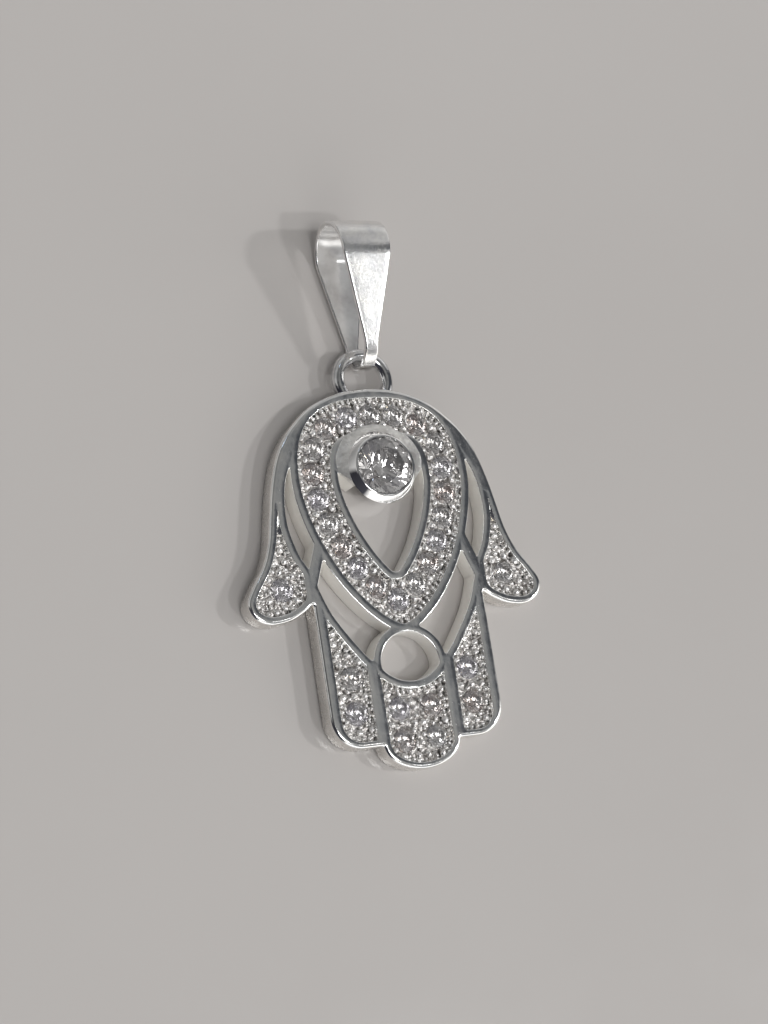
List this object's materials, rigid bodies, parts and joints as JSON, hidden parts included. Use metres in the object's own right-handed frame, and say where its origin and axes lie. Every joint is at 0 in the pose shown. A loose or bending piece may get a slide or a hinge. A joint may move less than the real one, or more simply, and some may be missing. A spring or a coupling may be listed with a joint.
{
  "type": "hamsa pendant",
  "caption": "Hand-shaped silver pendant with pierced windows, a teardrop band of pave stones, a larger stone in a raised cup and a tapered bail.",
  "frame": {"origin": "middle of the box's underside: the pendant lies on its back on the XY plane", "axes": "+Y from the fingers to the bail, +Z out of the face, +X to the viewer's right with the bail up"},
  "size_m": [0.0204, 0.0354, 0.0048],
  "materials": {
    "silver": "polished, rhodium plated",
    "stone": "faceted and polished"
  },
  "bodies": {
    "root": {"hand_frame": "silver", "bail": "silver", "main_stone": "stone", "small_stone_1": "stone", "small_stone_2": "stone", "small_stone_3": "stone", "small_stone_4": "stone", "small_stone_5": "stone", "small_stone_6": "stone", "small_stone_7": "stone", "small_stone_8": "stone", "small_stone_9": "stone", "small_stone_10": "stone", "small_stone_11": "stone", "small_stone_12": "stone", "small_stone_13": "stone", "small_stone_14": "stone", "small_stone_15": "stone", "small_stone_16": "stone", "small_stone_17": "stone", "small_stone_18": "stone", "small_stone_19": "stone", "small_stone_20": "stone", "small_stone_21": "stone", "small_stone_22": "stone", "small_stone_23": "stone", "small_stone_24": "stone", "small_stone_25": "stone", "small_stone_26": "stone", "small_stone_27": "stone", "small_stone_28": "stone", "small_stone_29": "stone", "small_stone_30": "stone"}
  },
  "joints": []
}
